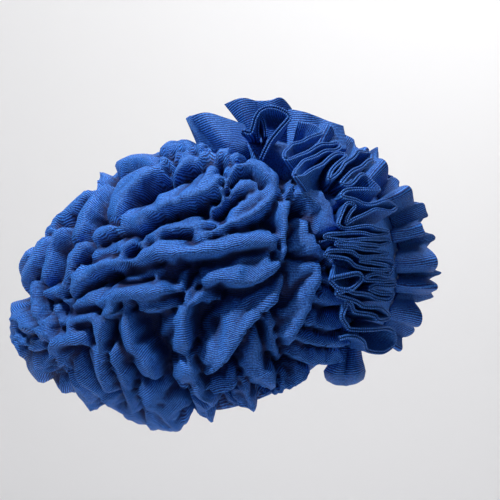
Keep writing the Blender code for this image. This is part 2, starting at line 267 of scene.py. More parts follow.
def fold_relief(x, z):
    """How high the cloth stands at each place."""
    x = x + WAVER * wander(x, z, WAVER_SIZE, 1)
    z = z + WAVER * wander(x, z, WAVER_SIZE, 2)
    best, second = np.zeros(x.shape), np.zeros(x.shape)
    t = np.linspace(0, 1, LINE_POINTS)
    for fold in FOLDS:
        ridge_x = (1 - t) ** 2 * fold.x0 + 2 * t * (1 - t) * fold.x1 + t * t * fold.x2
        ridge_z = (1 - t) ** 2 * fold.z0 + 2 * t * (1 - t) * fold.z1 + t * t * fold.z2
        roll = np.full(x.shape, -99.0)
        for i in range(len(t) - 1):
            run_x, run_z = ridge_x[i + 1] - ridge_x[i], ridge_z[i + 1] - ridge_z[i]
            share = (x - ridge_x[i]) * run_x + (z - ridge_z[i]) * run_z
            share = np.clip(share / (run_x ** 2 + run_z ** 2 + 1e-9), 0, 1)
            off_x, off_z = x - ridge_x[i] - share * run_x, z - ridge_z[i] - share * run_z
            place = t[i] + share * (t[1] - t[0])
            half = fold.start_half + (fold.end_half - fold.start_half) * place
            side = math.copysign(1.0, run_x * LIGHT_SIDE[1] - run_z * LIGHT_SIDE[0])
            length = math.hypot(run_x, run_z) + 1e-9
            lit = side * (off_z * run_x - off_x * run_z) / length + LIP_PLACE * half
            beyond = np.hypot(off_x, off_z) - np.abs(lit - LIP_PLACE * half)
            lit_drop = LIT_SLOPE * lit * (0.7 + 0.3 * lit / ((1 + LIP_PLACE) * half))
            shade_drop = SHADE_SLOPE * (np.hypot(lit, LIP_ROUND) - LIP_ROUND)
            top = ROLL_TOP + HEIGHT_SHARE * fold.height * (0.8 + 0.2 * place)
            drop = np.where(lit > 0, lit_drop, shade_drop)
            roll = np.maximum(roll, top - drop - END_SLOPE * np.clip(beyond, 0, None))
        second = np.maximum(second, np.minimum(best, roll))
        best = np.maximum(best, roll)
    ridged = 1 - np.clip(np.abs(wander(x, z, 46, 7)) / RIDGE_WIDTH, 0, 1)
    pinched = np.exp(-np.abs(wander(x, z, 60, 8)) / PINCH_WIDTH)
    return best + RIDGE * ridged - PINCH * pinched - CREASE * np.exp(-(best - second) / CREASE_WIDTH)


def both_sides(place):
    """The relief at points of the crown, on the near side and on the far one."""
    x, z = place[..., 0], place[..., 2]
    far = smooth_step(place[..., 1], FAR_START, FAR_FULL)
    return (1 - far) * fold_relief(x, z) + far * fold_relief(MIRROR_X - x, z)


print(len(FOLDS), "charted folds, the highest", max(fold.height for fold in FOLDS), "mm")


# %% [markdown]
# ## Where the cloth is held
# The cloth is held at the hem, at the apex and under the crest. Inside the bag it is tacked down
# along the deepest valleys between the charted rolls.

# %% Held places
Reach = namedtuple("Reach", "along degrees")       # how far round the plain cloth under the crest reaches
CREST_REACH = [Reach(0.0, 42), Reach(0.74, 42), Reach(0.83, 56), Reach(0.90, 72), Reach(0.96, 105)]
HEM_HELD, TOP_HELD = (0.01, 0.05), (0.95, 0.985)   # where the hold fades out and where it comes back
CLOTH_GRID = (240, 101)                            # columns round the cap, rings from the hem up
TOP_RING = 0.985                                   # just below the apex
CHART_OUT, TACK_DEPTH = 9.0, -18.0                 # the chart was read off the rolls, outside the mean form
RELIEF_BASE, START_LOW, START_HIGH = 18, -19, 20   # the relief on the mean form, and the limits to each side
HANG, LIFT = -4.5, 8.0                             # the underside hangs flatter than the rest
VALLEY_PART = 8                                    # one free point in eight is tacked down


def grid_places(columns, rings, top):
    return np.meshgrid(np.linspace(-math.pi, math.pi, columns + 1)[:-1], np.linspace(0, top, rings))


def held_share(angle, along):
    """1 where the cloth is sewn to what is under it, 0 where it is free."""
    turned = np.abs((angle + math.pi) % math.tau - math.pi)
    reach = np.radians(np.interp(along, *zip(*CREST_REACH)))
    held = np.maximum(1 - smooth_step(turned, reach, reach + 0.1), 1 - smooth_step(along, *HEM_HELD))
    return np.maximum(held, smooth_step(along, *TOP_HELD))


angle, along = grid_places(*CLOTH_GRID, TOP_RING)
mean, normal = mean_point(angle, along), mean_normal(angle, along)
held = held_share(angle, along)
relief = both_sides(mean + CHART_OUT * normal)
lift = HANG + LIFT * smooth_step(normal[..., 2], -0.6, 0.1)
height = (np.clip(relief - RELIEF_BASE, START_LOW, START_HIGH) + lift) * (1 - held)
start = mean + normal * height[..., None]
free = held < 0.3
valley = free & (relief < np.sort(relief[free])[free.sum() // VALLEY_PART])
held[valley] = 1
start[valley] = mean[valley] + normal[valley] * TACK_DEPTH
print(int(valley.sum()), "of", int(free.sum()), "free points lie in a valley and are tacked down")


# %% [markdown]
# ## The cloth finds its own form
# Blender's cloth solver gives the knit a little spare width and length. It has nowhere to go but
# up, so the broad faces buckle slightly between the tacks and the lips stop being straight. A few
# frames are enough: more of them would blur the charted rolls into a plain crumple.

# %% Meshes from grids
def ring_corners(rows, count):
    """The corners (ring, column) of each face between closed rings. Column count is column 0 again."""
    return [[(r, c), (r, c + 1), (r + 1, c + 1), (r + 1, c)] for r in range(rows - 1) for c in range(count)]


def corner_faces(corners, count):
    """The same faces as point numbers."""
    return [[r * count + c % count for r, c in face] for face in corners]


def new_mesh(name, points, faces, edges=()):
    """A mesh from points in millimetres."""
    made = bpy.data.meshes.new(name)
    made.from_pydata([tuple(p) for p in points.reshape(-1, 3) * MM], list(edges), faces)
    return made


# %% Cloth solver
def settle(name, points, held, frames, bending, spare):
    """The grid's points after the cloth has settled."""
    rows, count = points.shape[:2]
    faces = corner_faces(ring_corners(rows, count), count)
    cloth_object = add_object(name, new_mesh(name, points, faces))
    group = cloth_object.vertex_groups.new(name="held")
    for index, weight in enumerate(held.ravel()):
        if weight > 0.01:
            group.add([index], float(weight), "REPLACE")
    solver = cloth_object.modifiers.new("settle", "CLOTH")
    knit = solver.settings
    knit.quality, knit.mass, knit.air_damping = 8, 0.12, 4
    knit.tension_stiffness = knit.compression_stiffness = 12
    knit.shear_stiffness, knit.bending_stiffness = 6, bending
    knit.tension_damping = knit.compression_damping = knit.shear_damping = 12
    knit.bending_damping = 2
    knit.vertex_group_mass, knit.pin_stiffness = "held", 40
    knit.shrink_min = -spare
    knit.use_pressure, knit.uniform_pressure_force = True, 0.12
    knit.effector_weights.gravity = 0.3
    solver.collision_settings.use_collision = False
    solver.collision_settings.use_self_collision = True
    solver.collision_settings.self_distance_min = 0.0028
    solver.point_cache.frame_start, solver.point_cache.frame_end = 1, frames + 2
    for frame_number in range(1, frames + 1):
        bpy.context.scene.frame_set(frame_number)
    evaluated = cloth_object.evaluated_get(bpy.context.evaluated_depsgraph_get())
    settled = bpy.data.meshes.new_from_object(evaluated)
    out = np.empty(3 * len(settled.vertices))
    settled.vertices.foreach_get("co", out)
    bpy.data.objects.remove(cloth_object)
    bpy.data.meshes.remove(settled)
    bpy.context.scene.frame_set(1)
    out = out.reshape(points.shape) / MM
    moved = np.linalg.norm(out - points, axis=-1).mean()
    print(f"{name}: {rows} rings of {count}, moved {moved:.1f} mm on average")
    return out


def resample(points, at_column, at_ring):
    """The grid at other, fractional columns and rings, on smooth curves through its points."""
    closed = np.concatenate([points[:, -2:], points, points[:, :3]], axis=1)
    columns = closed.transpose(1, 0, 2).reshape(closed.shape[1], -1)
    flat = smooth_rows(columns, np.asarray(at_column) + 2)
    across = flat.reshape(len(at_column), points.shape[0], 3).transpose(1, 0, 2)
    return smooth_rows(across.reshape(points.shape[0], -1), at_ring).reshape(len(at_ring), -1, 3)


fine = settle("fine_cloth", start, held, frames=4, bending=2.0, spare=0.05)

# The bag gets most of the columns, because the crest is hidden under its ruffles.
COLUMNS, RINGS = 330, 131
turn = np.interp(np.arange(COLUMNS) / COLUMNS, [0, 0.44, 0.56, 1], [0, 0.36, 0.64, 1])
cloth = resample(fine, turn * fine.shape[1], np.linspace(0, fine.shape[0] - 1, RINGS))


# %% [markdown]
# ## Kept inside the photograph's outline
# The solver lets some rolls stand too far out. Each point's height over the mean form is eased
# back, so that no roll passes the outline that the photograph gives.

# %% Ease the heights
HIGHEST, EASE_FROM = 20.0, 10.0
LOWEST, LOW_EASE = -26.0, 6
form = BVHTree.FromPolygons(
    [tuple(p) for p in mean_point(*grid_places(*CLOTH_GRID, 1)).reshape(-1, 3)],
    corner_faces(ring_corners(CLOTH_GRID[1], CLOTH_GRID[0]), CLOTH_GRID[0]),
)


def eased(height):
    """The height over the mean form, bent back before it passes a limit."""
    if height > EASE_FROM:
        room = HIGHEST - EASE_FROM
        return EASE_FROM + room * math.tanh((height - EASE_FROM) / room)
    if height < LOWEST + LOW_EASE:
        return LOWEST + LOW_EASE + LOW_EASE * math.tanh((height - LOWEST - LOW_EASE) / LOW_EASE)
    return height


flat_cloth = cloth.reshape(-1, 3)
heights = []
for index, point in enumerate(flat_cloth):
    nearest, out_of_form, _, _ = form.find_nearest(Vector(point))
    height = (Vector(point) - nearest).dot(out_of_form)
    flat_cloth[index] = point + np.array(out_of_form) * (eased(height) - height)
    heights.append(height)
print("heights before easing, mm:", np.percentile(heights, [1, 25, 50, 75, 99]).round(1))


# %% [markdown]
# ## The crown as a mesh
# The settled points become one skin with a wall 2.2 mm thick. Its own map, in metres along the
# cloth, lets the knit's ribs follow every fold.

# %% Piece with a map
def cloth_piece(name, points, corners, on_cloth):
    """A smooth piece over a grid of points. on_cloth gives a corner's place on the flat cloth, in millimetres."""
    made_mesh = new_mesh(name, points, corner_faces(corners, points.shape[1]))
    layer = made_mesh.uv_layers.new(name="cloth")
    places = [on_cloth(r, c) for face in corners for r, c in face]
    layer.data.foreach_set("uv", np.array(places, float).ravel() * MM)
    made_mesh.shade_smooth()
    return add_object(name, made_mesh)


# %% Crown
MAP_ROUND = 1663.2                       # millimetres of cloth that the map lays once round, over all the folds
EVENED = 12                              # columns to each side over which the map is evened out
cloth[-1] = cloth[-1].mean(axis=0)       # the gathers are drawn together into one point at the top
step_up = np.linalg.norm(np.diff(cloth, axis=0), axis=-1)
step_up = sum(np.roll(step_up, shift, axis=1) for shift in range(-EVENED, EVENED + 1)) / (2 * EVENED + 1)
climb = np.concatenate([np.zeros((1, COLUMNS)), np.cumsum(step_up, axis=0)])
way_round = np.append(turn, 1) * MAP_ROUND
crown = cloth_piece(
    "crown_folds", cloth, ring_corners(RINGS, COLUMNS), lambda r, c: (way_round[c], climb[r, c % COLUMNS]),
)
wall = crown.modifiers.new("wall", "SOLIDIFY")
wall.thickness, wall.offset = 2.2 * MM, -1
print("crown:", len(crown.data.polygons), "faces", np.ptp(cloth.reshape(-1, 3), axis=0).round(1), "mm")


# %% [markdown]
# ## Crests and creases
# On the real cap the folds' crests catch the light and the creases lie in shade. How far each point
# stands over its surroundings, near and wide, is kept in an attribute called crest, and the material
# reads it to paint shade into the creases. An attribute travels with the mesh, so it holds from every side.

# %% Crest attribute
SMALL_FORM, LARGE_FORM = 5.0, 22.0       # millimetres over the surroundings that count as a full crest


def spread_out(points, passes):
    """The grid after each point has moved to the middle of its neighbours a few times."""
    for _ in range(passes):
        points = (2 * points + np.roll(points, 1, 1) + np.roll(points, -1, 1)) / 4
        padded = np.concatenate([points[:1], points, points[-1:]])
        points = (2 * points + padded[:-2] + padded[2:]) / 4
    return points


grid_normal = np.cross(np.roll(cloth, -1, 1) - np.roll(cloth, 1, 1), np.gradient(cloth, axis=0))
grid_normal /= np.maximum(np.linalg.norm(grid_normal, axis=-1, keepdims=True), 1e-9)
small = ((cloth - spread_out(cloth, passes=6)) * grid_normal).sum(axis=-1)
large = ((cloth - spread_out(cloth, passes=60)) * grid_normal).sum(axis=-1)
crest_share = np.clip(0.5 + small / SMALL_FORM + large / LARGE_FORM, 0, 1)
# the crest share drives the painted shade in the creases
attribute = crown.data.attributes.new("crest", "FLOAT", "POINT")
attribute.data.foreach_set("value", crest_share.ravel())
print("crest share percentiles:", np.percentile(crest_share, [5, 25, 50, 75, 95]).round(2))


# %% [markdown]
# ## Doubled strips
# Every ruffle is a strip of the same knit folded double, with both raw edges outwards. Seen on
# edge it is two bright lines with a dark groove between them. A strip is given here as levels of
# points from its root on the crown to its free edge, and gets its two layers from a cross-section.

# %% Photo places
VIEW = np.array(camera.rotation_euler.to_matrix())          # columns: right, up, towards the viewer
EYE = np.array(camera.location) / MM
PHOTO_MIDDLE = 250                                          # the photograph is 500 pixels wide and high
PIXELS = 2 * PHOTO_MIDDLE * DISTANCE / FIELD


def photo_pixel(points):
    """Where points in millimetres land in the photograph: pixel column and pixel row."""
    right, up, near = np.moveaxis((points - EYE) @ VIEW, -1, 0)
    return np.stack([PHOTO_MIDDLE - PIXELS * right / near, PHOTO_MIDDLE + PIXELS * up / near], axis=-1)


def photo_point(column, row, depth):
    """The point in millimetres that lands on a pixel of the photograph and has Y equal to depth."""
    column, row, depth = np.broadcast_arrays(*(np.asarray(v, float) for v in (column, row, depth)))
    right, up = (column - PHOTO_MIDDLE) / PIXELS, (PHOTO_MIDDLE - row) / PIXELS
    ray = np.stack([right, up, -np.ones(column.shape)], axis=-1) @ VIEW.T
    return EYE + ray * ((depth - EYE[1]) / ray[..., 1])[..., None]


def crown_place(pixels, height):
    """The angle and the place along of pixels, if their points stand height millimetres off the near side."""
    angle, along = np.meshgrid(np.radians(np.linspace(-150, -12, 277)), np.linspace(0.02, 0.97, 381))
    seen = photo_pixel(stand_on_crown(angle, along, np.full(angle.shape, float(height))))
    angle, along, seen = angle.ravel(), along.ravel(), seen.reshape(-1, 2)
    found = []
    for pixel in pixels:
        away = np.hypot(*(seen - pixel).T)
        close = np.argsort(away)[:6]
        share = 1 / (away[close] + 0.05)
        found.append((np.average(angle[close], weights=share), np.average(along[close], weights=share)))
    return np.array(found).T


# %% Cross-section
def cross_section(thickness, groove, groove_depth):
    """Round a doubled strip: the level, the distance from the middle and the height over that level.
    Level None is the bottom of the groove."""
    layer = (thickness - groove) / 4                                 # half of one layer
    centre = groove / 2 + layer
    section = [(v, thickness / 2 * (0.8 + 0.2 * v), 0.0) for v in np.linspace(0, 1, 9)[:-1]]
    turns = np.radians(np.linspace(0, 180, 7))
    section += [(1.0, centre + layer * math.cos(t), layer * math.sin(t)) for t in turns]
    section += [(1.0, groove / 2 * 0.7, -groove_depth / 3), (None, 0.12, 0.0)]
    return section + [(v, -off, up) for v, off, up in reversed(section)]


def running_sum(steps):
    return np.concatenate([[0], np.cumsum(steps)])


# %% Doubled strip
def doubled_strip(name, levels, thickness, groove, groove_depth=6.0, rib_turn=0.0, fullness=1.0):
    """A strip of doubled cloth. levels[v][s] is the point at level v of the strip and sample s along it."""
    levels = np.asarray(levels, float)
    steps, count = len(levels) - 1, levels.shape[1]
    tall = np.linalg.norm(np.diff(levels, axis=0), axis=-1).sum(axis=0)
    rise = np.gradient(levels, axis=0)
    side = np.cross(np.gradient(levels, axis=1), rise)
    side /= np.maximum(np.linalg.norm(side, axis=-1, keepdims=True), 1e-9)
    upward = rise[-1] / np.linalg.norm(rise[-1], axis=-1, keepdims=True)
    bottom = 1 - np.minimum(groove_depth / tall, 0.5)
    s = np.arange(count)
    ring = []
    for v, off, up in cross_section(thickness, groove, groove_depth):
        place = (bottom if v is None else np.full(count, v)) * steps
        low = np.minimum(place.astype(int), steps - 1)
        t = (place - low)[:, None]
        point = levels[low, s] * (1 - t) + levels[low + 1, s] * t
        normal = side[low, s] * (1 - t) + side[low + 1, s] * t
        ring.append(point + (normal * off + upward * up) * np.broadcast_to(fullness, count)[:, None])
    ring = np.array(ring)
    width = len(ring)
    corners = [
        [(w, s), ((w + 1) % width, s), ((w + 1) % width, s + 1), (w, s + 1)]
        for w in range(width) for s in range(count - 1)
    ]
    corners += [[(w, 0) for w in reversed(range(width))], [(w, count - 1) for w in range(width)]]    # both ends
    length = running_sum(np.linalg.norm(np.diff(levels[-1], axis=0), axis=-1))
    across = running_sum(np.linalg.norm(np.diff(ring, axis=0), axis=-1).mean(axis=1))
    turn_cos, turn_sin = math.cos(rib_turn), math.sin(rib_turn)
    piece = cloth_piece(
        name, ring, corners,
        lambda w, s: (length[s] * turn_cos - across[w] * turn_sin, length[s] * turn_sin + across[w] * turn_cos),
    )
    print(f"{name}: {len(corners)} faces, {length[-1]:.0f} mm long, {tall.mean():.0f} mm tall")
    return piece


# %% [markdown]
# ## The ruffle rows
# A row is a long strip sewn down along one meridian of the crown with much more length than the
# meridian has, so it swings from side to side. The first row faces the camera, so the path of its
# edge is charted from the photograph, pixel by pixel, from the top down.

# %% First row
EDGE_PATH = [
    (296, 122), (312, 127), (321, 134), (306, 139), (291, 144), (284, 151), (287, 158), (300, 152),
    (318, 146), (335, 143), (340, 147), (322, 152), (306, 157), (297, 166), (292, 177), (300, 176),
    (314, 168), (327, 160), (338, 152), (346, 155), (336, 164), (329, 177), (338, 172), (350, 159),
    (365, 153), (372, 158), (359, 168), (346, 179), (353, 182), (362, 175), (371, 180), (378, 190),
    (363, 187), (351, 187), (345, 196), (357, 200), (372, 203), (386, 200), (397, 206), (390, 212),
    (376, 209), (362, 216), (349, 222), (353, 213), (357, 206), (350, 204), (344, 212), (340, 222),
    (347, 227), (364, 227), (382, 228), (389, 232), (372, 235), (352, 232), (336, 234), (326, 238),
    (344, 240), (366, 240), (385, 238), (390, 242), (370, 246), (348, 243), (340, 241), (338, 245),
    (352, 248), (370, 251), (384, 250), (388, 254), (366, 257), (346, 252), (332, 251), (324, 255),
    (338, 258), (352, 262), (366, 269), (380, 271), (386, 268), (374, 264), (360, 259), (376, 258),
    (390, 262), (388, 274), (372, 275), (366, 279), (378, 281), (391, 280), (390, 286), (374, 286),
    (368, 290), (380, 293), (391, 293), (387, 299), (372, 297), (354, 291), (336, 288), (330, 281),
    (342, 276), (356, 273), (362, 279), (352, 287), (338, 293), (352, 301), (368, 306), (384, 310),
    (389, 318), (372, 318), (354, 309), (345, 301), (344, 314), (346, 327), (358, 329), (370, 328),
    (386, 328), (394, 336), (388, 346), (374, 353), (364, 346), (360, 338), (352, 336), (342, 340),
]
EDGE_HEIGHT = 27.0                       # millimetres that the row stands off the crown
ROW_ANGLES = (-44, -15, 15, 44)          # the meridian of each row, in degrees
ROOT_GAP = 0.9
DEGREE, WHOLE_WAY = 1.9, 400             # about how many millimetres one degree and the whole way up are


def smooth_path(points, step):
    """Points on a smooth curve through the given ones, about step apart."""
    points = np.asarray(points, float)
    dense = read_table(points.tolist(), np.linspace(0, len(points) - 1, 40 * len(points)))
    length = running_sum(np.linalg.norm(np.diff(dense, axis=0), axis=-1))
    at = np.linspace(0, length[-1], max(8, int(length[-1] / step)))
    return np.stack([np.interp(at, length, dense[:, k]) for k in range(dense.shape[1])], axis=-1)


def row_levels(angle, along, height, meridian, root_share=0.5, lean=0.0, slide=0.0):
    """Levels of one row from its root to its edge. Near the root the swings shrink towards the meridian.
    lean turns the edge away from the root, in radians, and slide shifts the root along the meridian."""
    levels = []
    for v in np.linspace(0, 1, 8):
        swing = root_share + (1 - root_share) * (0.25 * v + 0.75 * v ** 0.7)
        tall = ROOT_GAP + (height - ROOT_GAP) * v
        turned = meridian + (angle - meridian) * swing + lean * v
        levels.append(stand_on_crown(turned, along + slide * (1 - v) ** 1.3, tall))
    return levels


edge_angle, edge_along = crown_place(EDGE_PATH, EDGE_HEIGHT)
charted = np.stack([np.degrees(edge_angle) * DEGREE, edge_along * WHOLE_WAY], axis=-1)
path = smooth_path(charted, 1.1)
over, up = path.T
path_angle = np.radians(over / DEGREE) + np.radians(0.9) * wander(over, up, 16, 5)
path_along = up / WHOLE_WAY + 0.0022 * wander(over, up, 18, 6)
path_height = EDGE_HEIGHT + 4.0 * wander(over, up, 60, 3) + 1.6 * wander(over, up, 17, 4)
share = np.linspace(0, 1, len(path))
tight = smooth_step(share, 0.36, 0.42) * (1 - smooth_step(share, 0.68, 0.76))      # the middle is packed closer
slide = 0.05 * (1 - 0.75 * tight) * wander(over, up, 70, 8)
levels = row_levels(path_angle, path_along, path_height, math.radians(ROW_ANGLES[0]), slide=slide)
strips = {}
strips["ruffle_row_1"] = doubled_strip(
    "ruffle_strip_1", levels, thickness=3.6, groove=0.5, fullness=1 - 0.2 * tight,
)


# %% [markdown]
# ## The other rows
# The second row shows its lobes against the wall, and the two rows behind it hardly show. They
# follow a rule: each half wave has its own swing and height, drawn from a fixed seed.

# %% Wavy rows
Stretch = namedtuple("Stretch", "along pitch swing height")
MIDDLE_ROW = [
    Stretch(0.13, 19, 13, 23), Stretch(0.20, 19, 14, 27), Stretch(0.32, 20, 15, 29), Stretch(0.44, 22, 16, 35),
    Stretch(0.56, 23, 17, 28), Stretch(0.70, 25, 17, 26), Stretch(0.80, 26, 16, 22),
]
OUTER_ROW = [
    Stretch(0.13, 16, 17, 24), Stretch(0.25, 16, 19, 28), Stretch(0.45, 17, 20, 29),
    Stretch(0.60, 18, 19, 28), Stretch(0.76, 20, 16, 24),
]
PITCH_DRAW, SWING_DRAW, HEIGHT_DRAW = (0.8, 1.2), (0.75, 1.1), (0.68, 1.14)
SAMPLES = 26                             # points in each half wave


def wavy_row(row_angle, stretches, seed):
    """The angle, the place along and the height of a row's edge, and the row's meridian."""
    rng = np.random.default_rng(seed)
    table = np.array(stretches)
    meridian = math.radians(row_angle)
    turns, swings, heights = [table[0, 0]], [], []
    while turns[-1] < table[-1, 0]:
        here = turns[-1]
        pitch, swing, height = (np.interp(here, table[:, 0], table[:, k]) for k in (1, 2, 3))
        whole_way = 50 * np.linalg.norm(mean_point(meridian, here + 0.01) - mean_point(meridian, here - 0.01))
        turns.append(here + 0.5 * pitch * rng.uniform(*PITCH_DRAW) / whole_way)
        swings.append(swing * rng.uniform(*SWING_DRAW))
        heights.append(height * rng.uniform(*HEIGHT_DRAW))
    turns, swings, heights = np.array(turns), np.array(swings), np.array(heights)
    phase = np.arange(0, len(swings) - 1, 1 / SAMPLES)
    along = np.interp(phase, np.arange(len(turns)), turns)
    width = np.gradient(along) * SAMPLES
    swing = np.interp(phase, np.arange(len(swings)), swings)
    height = np.interp(phase, np.arange(len(heights)), heights)
    beside = mean_point(meridian + 0.01, along) - mean_point(meridian - 0.01, along)
    radius = np.linalg.norm(beside, axis=-1) / 0.02
    side = np.sin(math.pi * phase) + 0.26 * wander(phase * 10, phase * 0, 7, seed + 3)
    forward = along - 0.10 * width * np.sin(math.tau * phase)
    forward = forward + 0.32 * width * wander(phase * 10, phase * 0, 19, seed)
    angle = meridian + swing * side / radius
    lobe = height * (0.74 + 0.26 * side ** 2) + 2.6 * wander(phase * 10, phase * 0, 9, seed + 9)
    return angle, forward, lobe, meridian


LEAN = {2: 9, 3: -2, 4: -11}                # degrees that a row's edge turns away from its root
for number, stretches in ((2, MIDDLE_ROW), (3, MIDDLE_ROW), (4, OUTER_ROW)):
    edge = wavy_row(ROW_ANGLES[number - 1], stretches, seed=number + 10)
    levels = row_levels(*edge, root_share=0.6, lean=math.radians(LEAN[number]))
    strips[f"ruffle_row_{number}"] = doubled_strip(f"ruffle_strip_{number}", levels, thickness=3.4, groove=0.5)


# %% [markdown]
# ## Leaves, loop and tail
# The ends of the strips stand up as broad leaves, and one end curls into a loop. Each is charted as
# a few rows of places in the photograph, bottom row first: pixel column, pixel row, and depth.

# %% Charted flaps
FLAPS = {
    "crest_leaf_left": [
        [(203, 165, -62), (219, 167, -50), (230, 168, -60), (243, 167, -56), (253, 160, -44)],
        [(200, 150, -66), (218, 152, -54), (230, 153, -68), (243, 153, -62), (252, 150, -46)],
        [(194, 133, -63), (204, 135, -52), (219, 135, -66), (234, 138, -60), (248, 138, -44)],
        [(187.5, 118, -57), (191, 116.5, -52), (206, 114, -55), (225, 119.5, -50), (244, 126, -40)],
    ],
    "crest_leaf_top": [
        [(250, 146, -6), (258, 146, -12), (266, 146, -6), (276, 146, -12), (286, 146, -6), (296, 146, -2)],
        [(244, 128, -8), (252, 130, -14), (262, 131, -6), (273, 131, -14), (284, 131, -8), (294, 131, -4)],
        [(235, 116, -8), (247, 114, -15), (260, 115, -6), (272, 115, -16), (283, 115, -10), (293, 120, -4)],
        [(225.5, 104.5, -6), (241, 99, -13), (257, 101.5, -7), (270, 101, -15), (281, 98.5, -12), (290, 109, -4)],
    ],
    "crest_leaf_back": [
        [(288, 148, -26), (302, 148, -34), (318, 149, -28), (334, 150, -34), (346, 151, -26)],
        [(288, 130, -16), (302, 133, -23), (318, 136, -18), (332, 139, -23), (345, 141, -17)],
        [(289, 110, -10), (304, 113, -16), (320, 119, -11), (333, 124, -15), (342, 127, -9)],
    ],
    "ruffle_tail": [
        [(337, 332, -86), (342, 331, -90), (347, 331, -86), (352, 331, -90), (357, 332, -84)],
        [(337, 346, -90), (342, 345, -97), (348, 346, -91), (354, 345, -97), (359, 346, -89)],
        [(334, 360, -94), (340, 361, -103), (347, 361, -95), (354, 361, -103), (361, 360, -93)],
        [(325, 371, -98), (334, 374, -110), (345, 375, -101), (356, 374, -110), (364, 371, -98)],
        [(328, 379, -88), (336, 383, -98), (346, 384, -90), (355, 382, -98), (362, 378, -88)],
    ],
}
FLAP_STEP = 1.6                          # millimetres between the points across a flap


def charted_levels(rows):
    """Smooth levels through a chart's rows of photo places."""
    rows = np.array(rows, float)
    points = photo_point(rows[..., 0], rows[..., 1], rows[..., 2])
    wide = np.linalg.norm(np.diff(points[-1], axis=0), axis=-1).sum()
    across = np.linspace(0, points.shape[1] - 1, int(wide / FLAP_STEP))
    filled = np.stack([read_table(row.tolist(), across) for row in points])
    up = np.linspace(0, len(filled) - 1, 12)
    return np.stack([read_table(filled[:, s].tolist(), up) for s in range(filled.shape[1])], axis=1)


for node, rows in FLAPS.items():
    rib_turn = math.radians(90 if node == "ruffle_tail" else 78)
    levels = charted_levels(rows)
    strips[node] = doubled_strip(
        f"{node}_cloth", levels, thickness=3.6, groove=0.9, groove_depth=3.0, rib_turn=rib_turn,
    )


# %% Loop
LOOP_EDGE = [
    (261, 160, -84), (265, 151, -84), (271, 140, -82), (279, 130, -80), (286, 122, -78),
    (289.5, 117, -76), (286, 112.5, -75), (277, 108.5, -75), (268, 107.5, -76), (260, 111, -77),
    (255, 119, -78), (252.5, 128, -79), (250, 133, -79), (244, 131.5, -79), (243, 134, -78),
]
INNER_EDGE = [
    (266, 137, -74), (265, 128, -74), (262.5, 119, -74), (259, 117, -74), (257.5, 124, -74), (257, 132, -74),
    (258, 138, -74),
]


def loop_levels(edge, deep, drop):
    """Levels from the gathered end inside the crest, deep millimetres back and drop down, to the charted edge."""
    edge = np.array(edge, float)
    front = smooth_path(photo_point(edge[:, 0], edge[:, 1], edge[:, 2]), 1.2)
    middle = front.mean(axis=0)
    levels = []
    for v in np.linspace(0, 1, 8):
        back = 1 - v
        levels.append(middle + (front - middle) * (1 - 0.35 * back) + np.array([0.0, deep, -drop]) * back)
    return levels


levels = loop_levels(LOOP_EDGE, deep=34, drop=10)
strips["crest_loop"] = doubled_strip("crest_loop_cloth", levels, thickness=4.0, groove=1.0)
levels = loop_levels(INNER_EDGE, deep=26, drop=8)
inner_loop = doubled_strip("crest_loop_inner", levels, thickness=3.2, groove=0.8)


# %% [markdown]
# ## The hem's stitches
# How the hem is sewn doesn't show in the photograph, so it gets a plain running stitch round the
# head opening. A Geometry Nodes tree walks along the hem's line and lays one short thread at each
# step, so the stitch length and the spacing stay plain numbers.

# %% Nodes and links
def add_node(tree, kind, values=(), **settings):
    """A node with its settings and the values of its inputs, given as (input, value)."""
    node = tree.nodes.new(kind)
    for setting, value in settings.items():
        setattr(node, setting, value)
    for socket, value in values:
        node.inputs[socket].default_value = value
    return node


def join(tree, *wires):
    """Links from an output to an input, given as (node, output, node, input)."""
    for source, output, target, socket in wires:
        tree.links.new(source.outputs[output], target.inputs[socket])


# %% Stitch tree
def stitch_tree(material):
    """A tree that lays threads along a line. Its inputs are the sizes, in metres."""
    tree = bpy.data.node_groups.new("running_stitch", "GeometryNodeTree")
    sockets = tree.interface
    sockets.new_socket("Line", in_out="INPUT", socket_type="NodeSocketGeometry")
    for socket, value in (("Spacing", 6.0 * MM), ("Stitch", 4.0 * MM), ("Thread", 0.35 * MM)):
        made_socket = sockets.new_socket(socket, in_out="INPUT", socket_type="NodeSocketFloat")
        made_socket.default_value = value
    sockets.new_socket("Stitches", in_out="OUTPUT", socket_type="NodeSocketGeometry")
    given = add_node(tree, "NodeGroupInput")
    to_curve = add_node(tree, "GeometryNodeMeshToCurve")
    steps = add_node(tree, "GeometryNodeResampleCurve", mode="LENGTH")
    tangent = add_node(tree, "GeometryNodeInputTangent")
    turn_along = add_node(tree, "FunctionNodeAlignRotationToVector", axis="Z")
    thread = add_node(tree, "GeometryNodeMeshCylinder", [("Vertices", 8)])
    lay = add_node(tree, "GeometryNodeInstanceOnPoints")
    real = add_node(tree, "GeometryNodeRealizeInstances")
    paint = add_node(tree, "GeometryNodeSetMaterial", [("Material", material)])
    result = add_node(tree, "NodeGroupOutput")
    join(
        tree,
        (given, "Line", to_curve, "Mesh"),
        (to_curve, "Curve", steps, "Curve"),
        (given, "Spacing", steps, "Length"),
        (tangent, "Tangent", turn_along, "Vector"),
        (given, "Stitch", thread, "Depth"),
        (given, "Thread", thread, "Radius"),
        (steps, "Curve", lay, "Points"),
        (thread, "Mesh", lay, "Instance"),
        (turn_along, "Rotation", lay, "Rotation"),
        (lay, "Instances", real, "Geometry"),
        (real, "Geometry", paint, "Geometry"),
        (paint, "Geometry", result, "Stitches"),
    )
    return tree


# %% Sewn line
THREAD_FACES = 10                        # each stitch is a cylinder with 8 sides and 2 ends


